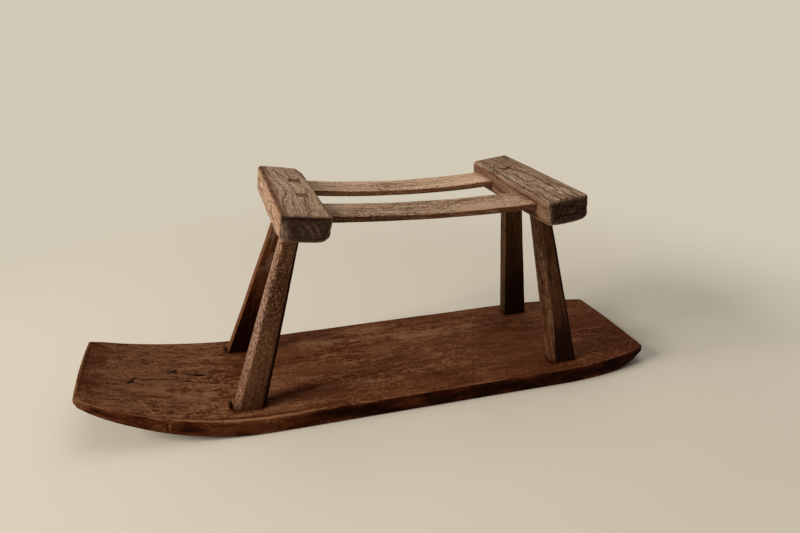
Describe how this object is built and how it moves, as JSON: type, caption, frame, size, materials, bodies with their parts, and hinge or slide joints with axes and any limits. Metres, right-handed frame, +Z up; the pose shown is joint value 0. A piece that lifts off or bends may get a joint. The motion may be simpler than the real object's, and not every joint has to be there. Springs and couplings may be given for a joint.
{
  "type": "single-board wooden seat sled",
  "caption": "Old wooden sled made of one long board with raised ends that carries a small four-legged stool with cross blocks and slats.",
  "frame": {"origin": "on the floor, under the middle of the base board's length and width, on the board's flat sole", "axes": "+X runs along the board from the high front end to the low rear end, +Y to the sled's right side, +Z up"},
  "size_m": [0.727, 0.25, 0.2695],
  "materials": {
    "board_wood": "dark, worn and oiled by use",
    "leg_wood": "dark and worn, paler on the arrises",
    "block_wood": "weathered grey-brown, arrises worn round",
    "slat_wood": "worn smooth, tan-brown"
  },
  "bodies": {
    "root": {"base_board": "board_wood", "leg_front_left": "leg_wood", "leg_front_right": "leg_wood", "leg_rear_left": "leg_wood", "leg_rear_right": "leg_wood", "cross_block_front": "block_wood", "cross_block_rear": "block_wood", "seat_slat_left": "slat_wood", "seat_slat_right": "slat_wood"}
  },
  "joints": []
}
